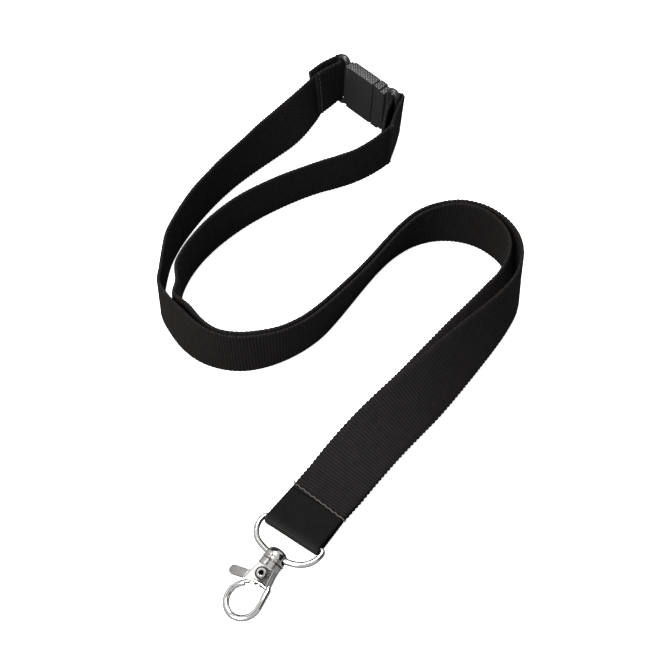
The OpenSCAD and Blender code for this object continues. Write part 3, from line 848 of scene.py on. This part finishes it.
def cut_once(shape, cutter):
    """One cut with an exact boolean, which needs both shapes as objects for a moment."""
    parts = []
    for bm in (shape, cutter):
        close_shape(bm)
        mesh = bpy.data.meshes.new("cut")
        bm.to_mesh(mesh)
        bm.free()
        part = bpy.data.objects.new("cut", mesh)
        bpy.context.scene.collection.objects.link(part)
        parts.append(part)
    modifier = parts[0].modifiers.new("cut", "BOOLEAN")
    modifier.solver = "EXACT"
    modifier.object = parts[1]
    result = bpy.data.meshes.new_from_object(parts[0].evaluated_get(bpy.context.evaluated_depsgraph_get()))
    for part in parts:
        bpy.data.objects.remove(part)
    bm = bmesh.new()
    bm.from_mesh(result)
    return bm


def join_shapes(bm, other):
    """Adds another closed shape to the same piece."""
    mesh = bpy.data.meshes.new("join")
    other.to_mesh(mesh)
    other.free()
    bm.from_mesh(mesh)


def paint(bm, finish):
    """Gives every face of a shape one of its piece's finishes."""
    for face in bm.faces:
        face.material_index = finish


def hard_piece(name, bm, place, materials, body, node):
    """Puts a hard part in place on the body it rides on, prints that body, and hides the node that it stands
    for.
    """
    bmesh.ops.transform(bm, verts=bm.verts, matrix=place)
    piece = add_piece(name, bm, materials, sharp=SHARP_EDGE)
    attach(piece, body)
    if node:
        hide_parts(node)
    print(name, "rides on", body, "and has", len(piece.data.polygons), "faces")


# %% [markdown]
# ## The breakaway buckle
# Each half is one moulding: a flat block, and an arched end that holds the bar for the webbing.
# The socket half is a block with a pocket let into its open end and a slightly proud rim there,
# which catches the light as a thin line. The plug half steps down towards its arch.

# %% Buckle sizes and the arched end
BODY_HALF, BODY_T, BODY_H = 11.0, 4.8, 20.8
SOCKET_END, PLUG_START = 4.62, 4.92
ARCH_Z, ARCH_X, ARCH_ROOT = 9.0, 13.6, 11.4
TONGUE_T, TONGUE_W, TONGUE_L = 2.4, 9.0, 10.0
ARM_Z, ARM_W, ARM_L, BARB_R, BARB_Z = 6.4, 2.6, 9.2, 1.2, 7.2
SLOT_PLAY = 0.2
at_buckle = placed(BUCKLE_AT, BUCKLE_TURN)


def arched_end(side):
    """One closed bar: along the block's end, over the top arch, down the webbing bar and back."""
    section = Matrix.Translation((side * ARCH_ROOT, 0, -ARCH_Z)) @ Matrix.Diagonal((1.0, 1.3, 1, 1))
    return bent_bar(
        section, 24, ((0, 0, 2 * ARCH_Z),), ((side * ARCH_X, 0, ARCH_Z), (0, 1, 0), side * 180, 20),
        ((0, 0, -2 * ARCH_Z),), ((side * ARCH_X, 0, -ARCH_Z), (0, 1, 0), side * 180, 20))


def step_along(bm, spots):
    """Cuts new edge loops across a block at the given places along it."""
    for x in spots:
        bmesh.ops.bisect_plane(bm, geom=bm.verts[:] + bm.edges[:] + bm.faces[:], plane_co=(x, 0, 0),
                               plane_no=(1, 0, 0))


def squeeze(bm, x0, x1, in_y, in_z):
    """Moves the points of a stretch of a block towards its long axis, or away from it."""
    for vert in bm.verts:
        if x0 - 1e-4 <= vert.co.x <= x1 + 1e-4:
            vert.co.y -= math.copysign(in_y, vert.co.y)
            vert.co.z -= math.copysign(in_z, vert.co.z)


# %% The socket half
socket_shell = rounded_box((-BODY_HALF, -BODY_T / 2, -BODY_H / 2), (SOCKET_END, BODY_T / 2, BODY_H / 2), 0.45)
step_along(socket_shell, (-9.2, -9.0, 3.55, 3.7))
squeeze(socket_shell, 3.7, SOCKET_END, -0.07, -0.07)
squeeze(socket_shell, -BODY_HALF, -9.2, 0.3, 0.6)
pocket = rounded_box((SOCKET_END - TONGUE_L - 0.6, -TONGUE_T / 2 - SLOT_PLAY, -ARM_Z - ARM_W / 2 - SLOT_PLAY),
            (SOCKET_END + 2, TONGUE_T / 2 + SLOT_PLAY, ARM_Z + ARM_W / 2 + SLOT_PLAY), 0.3, 2)
socket_shell = cut_shape(socket_shell, pocket)
hard_piece("buckle_socket_shell", socket_shell, at_buckle, [grained_plastic], "root", "buckle_socket")
hard_piece("buckle_socket_arch", arched_end(-1), at_buckle, [smooth_plastic], "root", None)

# %% The plug half with its tongue, arch and snap arms
plug_shell = rounded_box((PLUG_START, -BODY_T / 2, -BODY_H / 2), (BODY_HALF, BODY_T / 2, BODY_H / 2), 0.45)
step_along(plug_shell, (8.4, 8.6, 10.2))
squeeze(plug_shell, 8.6, BODY_HALF, 0.07, 0.85)
tongue = rounded_box((PLUG_START - TONGUE_L, -TONGUE_T / 2, -TONGUE_W / 2),
            (PLUG_START + 1, TONGUE_T / 2, TONGUE_W / 2), 0.45)
close_shape(plug_shell)
join_shapes(plug_shell, tongue)
hard_piece("buckle_plug_shell", plug_shell, at_buckle, [grained_plastic], "plug_half", "buckle_plug")
hard_piece("buckle_plug_arch", arched_end(1), at_buckle, [smooth_plastic], "plug_half", None)

snap_arms = bmesh.new()
for side in (-1, 1):
    arm = rounded_box((PLUG_START - ARM_L + BARB_R, -TONGUE_T / 2, side * ARM_Z - ARM_W / 2),
                (PLUG_START + 0.5, TONGUE_T / 2, side * ARM_Z + ARM_W / 2), 0.4)
    join_shapes(snap_arms, arm)
    barb = turned_part([(0, -TONGUE_T / 2), (BARB_R - 0.2, -TONGUE_T / 2), (BARB_R, -TONGUE_T / 2 + 0.2),
                       (BARB_R, TONGUE_T / 2 - 0.2), (BARB_R - 0.2, TONGUE_T / 2), (0, TONGUE_T / 2)], "y", 24)
    bmesh.ops.translate(barb, verts=barb.verts, vec=(PLUG_START - ARM_L + BARB_R, 0, side * BARB_Z))
    join_shapes(snap_arms, barb)
bmesh.ops.recalc_face_normals(snap_arms, faces=snap_arms.faces)
hard_piece("buckle_snap_arms", snap_arms, at_buckle, [grained_plastic], "plug_half", "snap_arms")

# %% [markdown]
# ## The D-ring
# The ring is bent from one round wire: a straight bar for the webbing, two tight corners, two
# wider shoulders and a shallow far side where the hook hangs. The circle of the wire is pushed
# and turned through the same bends, so the wire keeps one thickness all the way round.

# %% The ring's wire
CORNER_BEND, SIDE_Y, RING_W = 1.3, 1.8, 22.4
SHOULDER_BEND, SHOULDER_SWEEP = 6.8, 70
SHOULDER_X = RING_W / 2 - SHOULDER_BEND
FAR_BEND = SHOULDER_X / cos(radians(SHOULDER_SWEEP)) + SHOULDER_BEND
FAR_Y = -SIDE_Y + SHOULDER_X * math.tan(radians(SHOULDER_SWEEP))
BAR_HALF = RING_W / 2 - CORNER_BEND
wire_start = (Matrix.Translation((-BAR_HALF, 0, 0)) @ Matrix.Rotation(radians(90), 4, "Y")
              @ Matrix.Scale(RING_WIRE / 2, 4))
side_step, upright = CORNER_BEND - SIDE_Y, (0, 0, 1)
wire = bent_bar(
    wire_start, 24, ((2 * BAR_HALF, 0, 0),), ((BAR_HALF, -CORNER_BEND, 0), upright, -90, 10),
    ((0, side_step, 0),), ((SHOULDER_X, -SIDE_Y, 0), upright, -SHOULDER_SWEEP, 20),
    ((0, FAR_Y, 0), upright, 2 * SHOULDER_SWEEP - 180, 24),
    ((-SHOULDER_X, -SIDE_Y, 0), upright, -SHOULDER_SWEEP, 20), ((0, -side_step, 0),),
    ((-BAR_HALF, -CORNER_BEND, 0), upright, -90, 10))
hard_piece("d_ring_wire", wire, placed(RING_AT, RING_TURN), [nickel], "d_ring", "d_ring")

# %% [markdown]
# ## The swivel eye
# The eye is a turned part: a retaining head and stem that hide in the hook, a thin flange, and a
# domed barrel. Its two sides are milled flat, and the ring's wire goes through a cross bore.

# %% The eye
HOOK_TURN, EYE_REACH, EYE_SHIFT = (7, -7, -36.5), 6.4, 0.8
HOOK_AT = (RING_AT + turned(RING_TURN, (EYE_SHIFT, FAR_Y - FAR_BEND, 0))
           - turned(HOOK_TURN, (0, EYE_REACH, 0)))
at_hook = placed(HOOK_AT, HOOK_TURN)
eye = turned_part([(0, 2.1), (1.15, 2.1), (1.25, 2.2), (1.25, 2.7), (0.8, 2.7), (0.8, 4.6), (3.45, 4.6),
                  (3.6, 4.72), (3.6, 4.98), (3.5, 5.1), (3.3, 5.16), (3.3, 5.3), (3.5, 5.45), (3.52, 6.0),
                  (3.42, 6.8), (3.15, 7.5), (2.7, 8.05), (2.1, 8.45), (1.4, 8.66), (0, 8.74)], "y", 64)
bore = turned_part([(0, -6), (1.4, -6), (1.4, -3.1), (1.4, 3.1), (1.4, 6), (0, 6)], "z", 32)
bmesh.ops.transform(bore, verts=bore.verts,
                    matrix=Matrix.Translation((0, EYE_REACH, 0)) @ Matrix.Rotation(radians(90), 4, "Y"))
flat_sides = [rounded_box((2.85, 5.3, -6), (6, 10, 6), 0) for side in (-1, 1)]
bmesh.ops.rotate(flat_sides[0], verts=flat_sides[0].verts, cent=(0, 0, 0),
                 matrix=Matrix.Rotation(math.pi, 3, "Y"))
eye = cut_shape(eye, bore, *flat_sides)
hard_piece("swivel_eye_barrel", eye, at_hook, [nickel], "swivel_eye", "swivel_eye")

# %% [markdown]
# ## The trigger hook
# The body is a die-cast plate with rounded rims. It has a slot for the lever, a recess round the
# rivet, holes for the swivel and the rivet, a round limb that runs into the bow, and a grooved
# collar under the swivel.

# %% The hook's body
HOOK_T, BOW_AT, BOW_R, BOW_D = 3.7, (-0.2, -8.9), 5.2, 1.9
BOW_TIP, BOW_TOP, BOW_SPARE, END_GAP = 165, 8, 14, 0.06
LIMB_L, LIMB_TAPER, LIMB_END_SHARE, LIMB_END_IN = 5.4, 2.0, 0.35, 0.62
SLOT_LOW, SLOT_HIGH = -0.65, 1.15
ARCH_CENTRE, ARCH_CUT_R = (1.9, -14.0), 11.0
arch_outline = [(ARCH_CENTRE[0] + ARCH_CUT_R * cos(radians(a)),
                 ARCH_CENTRE[1] + ARCH_CUT_R * sin(radians(a))) for a in np.linspace(77, 122, 14)]
body_outline = [(-3.5, -1.1), (-3.25, 0.4), (-3.05, 1.4), (-2.8, 2.6), (-2.6, 3.4), (2.9, 3.4), (3.05, 2.4),
                (3.3, 0.9), (3.9, -1.9)] + arch_outline
RECESS_R, RECESS_DEPTH = 1.95, 0.4
crowned_nickel = nickel_finish("crowned_nickel", *plated, crown_at=HOOK_AT * MM,
                               crown_way=turned(HOOK_TURN, (1, 0, 0)))
hook = plate(body_outline, -HOOK_T / 2, HOOK_T / 2, 0.42, 4)
recesses = [turned_part([(0, low), (RECESS_R, low), (RECESS_R, high), (0, high)], "z")
            for low, high in ((-3.0, -HOOK_T / 2 + RECESS_DEPTH), (HOOK_T / 2 - RECESS_DEPTH, 3.0))]
hook = cut_shape(
    hook, rounded_box((-20, -20, SLOT_LOW), (2.2, 1.95, SLOT_HIGH), 0), *recesses,
    turned_part([(0, 2.0), (1.35, 2.0), (1.35, 2.85), (0.86, 2.85), (0.86, 5), (0, 5)], "y", 32),
    turned_part([(0, -5), (1.06, -5), (1.06, 5), (0, 5)], "z", 32))


def on_bow(radius, degrees):
    """A place on the bow's circle, and the matrix of a bar's section there."""
    a = radians(degrees)
    spot = Vector((BOW_AT[0] + radius * cos(a), BOW_AT[1] + radius * sin(a), 0))
    return Matrix.Translation(spot) @ Matrix.Rotation(a, 4, "Z") @ Matrix.Rotation(radians(90), 4, "X")


# Faces in the recesses round the rivet get the near-black nickel: painted shade in the recess.
for face in hook.faces:
    in_recess = all(math.hypot(v.co.x, v.co.y) < RECESS_R + 0.02 and abs(v.co.z) > 1.4 for v in face.verts)
    face.material_index = int(in_recess)
tip_spot = on_bow(BOW_R, BOW_TIP).translation
tip_turn = Matrix.Rotation(math.atan2(tip_spot.y, tip_spot.x), 4, "Z")


def end_cutter(x0, x1):
    """A block across the bow's tip whose faces lie along the gate tip's way round the rivet."""
    cutter = rounded_box((tip_spot.length + x0, -2, -2), (tip_spot.length + x1, 2, 2), 0)
    bmesh.ops.transform(cutter, verts=cutter.verts, matrix=tip_turn)
    return cutter


bow = bmesh.new()
edges = start_bar(bow, on_bow(BOW_R, BOW_TIP - BOW_SPARE) @ Matrix.Scale(BOW_D / 2, 4), 24)
edges = turn_bar(bow, edges, (*BOW_AT, 0), (0, 0, 1), 360 + BOW_TOP - BOW_TIP + BOW_SPARE, 60)
limb_way = Vector((-sin(radians(BOW_TOP)), cos(radians(BOW_TOP)), 0))
edges = push_bar(bow, edges, limb_way * LIMB_L)
edges = push_bar(bow, edges, limb_way * LIMB_TAPER)
end_points = rim_points(edges)
middle = sum((v.co for v in end_points), Vector()) / len(end_points)
for vert in end_points:
    vert.co = middle + (vert.co - middle) * LIMB_END_SHARE - Vector((LIMB_END_IN, 0, 0))
close_shape(bow)
bow = cut_shape(bow, end_cutter(-4, END_GAP))
paint(bow, 2)
join_shapes(hook, bow)
collar = turned_part([(0.86, 2.2), (3.2, 2.2), (3.4, 2.4), (3.4, 3.3), (3.22, 3.4), (3.22, 3.56), (3.4, 3.66),
                     (3.4, 4.1), (3.25, 4.25), (0.86, 4.25)], "y", 64)
close_shape(collar)
paint(collar, 2)
join_shapes(hook, collar)
hard_piece("hook_body_and_bow", hook, at_hook, [crowned_nickel, painted_shade_nickel, nickel], "hook", "hook_body")

# %% The tubular rivet and the spring
rivet = turned_part([
    (0.78, -2.2), (1.35, -2.2), (1.5, -2.08), (1.5, -1.5), (1.05, -1.45), (1.05, 1.45), (1.5, 1.5), (1.5, 2.08),
    (1.35, 2.2), (0.95, 2.2), (0.78, 2.08), (0.72, 1.8), (0.72, -1.8), (0.78, -2.08)], "z", 48)
close_shape(rivet)
# Faces inside the rivet's bore get the near-black nickel: painted shade inside the hole.
for face in rivet.faces:
    spot = face.calc_center_median()
    face.material_index = int(math.hypot(spot.x, spot.y) < 0.79)
hard_piece("lever_rivet_tube", rivet, at_hook, [nickel, painted_shade_nickel], "hook", "lever_rivet")
spring_start = (Matrix.Translation((1.5, 0, 0.875)) @ Matrix.Rotation(radians(90), 4, "X")
                @ Matrix.Scale(0.17, 4))
spring = bent_bar(spring_start, 12, ((0, 0, 0), (0, 0, 1), 320, 40), ((0.35, 0.3, 0),))
hard_piece("lever_spring_wire", spring, at_hook, [brushed_nickel], "hook", "lever_spring")

# %% [markdown]
# ## The trigger lever
# Thumb tab, hub and gate are one stamped and bent piece. Its outline goes round the hub, along the
# link to the rounded tab and back to the gate's foot. The tab is bent down a little and is less
# polished than the body. The gate is a round bar on the bow's circle, and its tip and the bow's
# are cut along the gate's way round the rivet, so that it can close on the bow without a gap.

# %% The lever
LEVER_T, HUB_R, GATE_R, GATE_D, GATE_ROOT, GATE_TIP = 1.2, 1.8, 5.15, 1.7, 126, 174
TAB_BEND_X, TAB_SLOPE = -4.4, 0.16
gate_foot = on_bow(GATE_R, GATE_ROOT).translation
hub_arc = [(HUB_R * cos(radians(a)), HUB_R * sin(radians(a))) for a in range(-75, 151, 15)]
tab_arc = [(-8.7 + 1.5 * cos(radians(a)), -3.3 + 1.5 * sin(radians(a)))
           for a in range(90, 271, 20)]
lever_outline = (hub_arc + [(-4.2, -0.9), (-4.6, -1.0)] + tab_arc
                 + [(-4.6, -3.85), (gate_foot.x - 0.55, gate_foot.y - 0.1),
                    (gate_foot.x + 0.5, gate_foot.y + 0.45), (0.2, 0.3 - HUB_R)])
lever = plate(lever_outline, -LEVER_T / 2, LEVER_T / 2, 0.22, 3)
pivot = turned_part([(0, -3), (1.1, -3), (1.1, 3), (0, 3)], "z", 32)
lever = cut_shape(lever, pivot)
step_along(lever, (TAB_BEND_X,))
for vert in lever.verts:
    vert.co.z -= TAB_SLOPE * max(0.0, TAB_BEND_X - vert.co.x)
for face in lever.faces:
    face.material_index = int(face.calc_center_median().x < TAB_BEND_X)
gate = bent_bar(on_bow(GATE_R, GATE_ROOT) @ Matrix.Scale(GATE_D / 2, 4), 24,
                ((*BOW_AT, 0), (0, 0, 1), GATE_TIP - GATE_ROOT, 18))
gate = cut_shape(gate, end_cutter(0, 5))
join_shapes(lever, gate)
hard_piece("trigger_lever_and_gate", lever, at_hook, [nickel, brushed_nickel], "trigger", "trigger_lever")
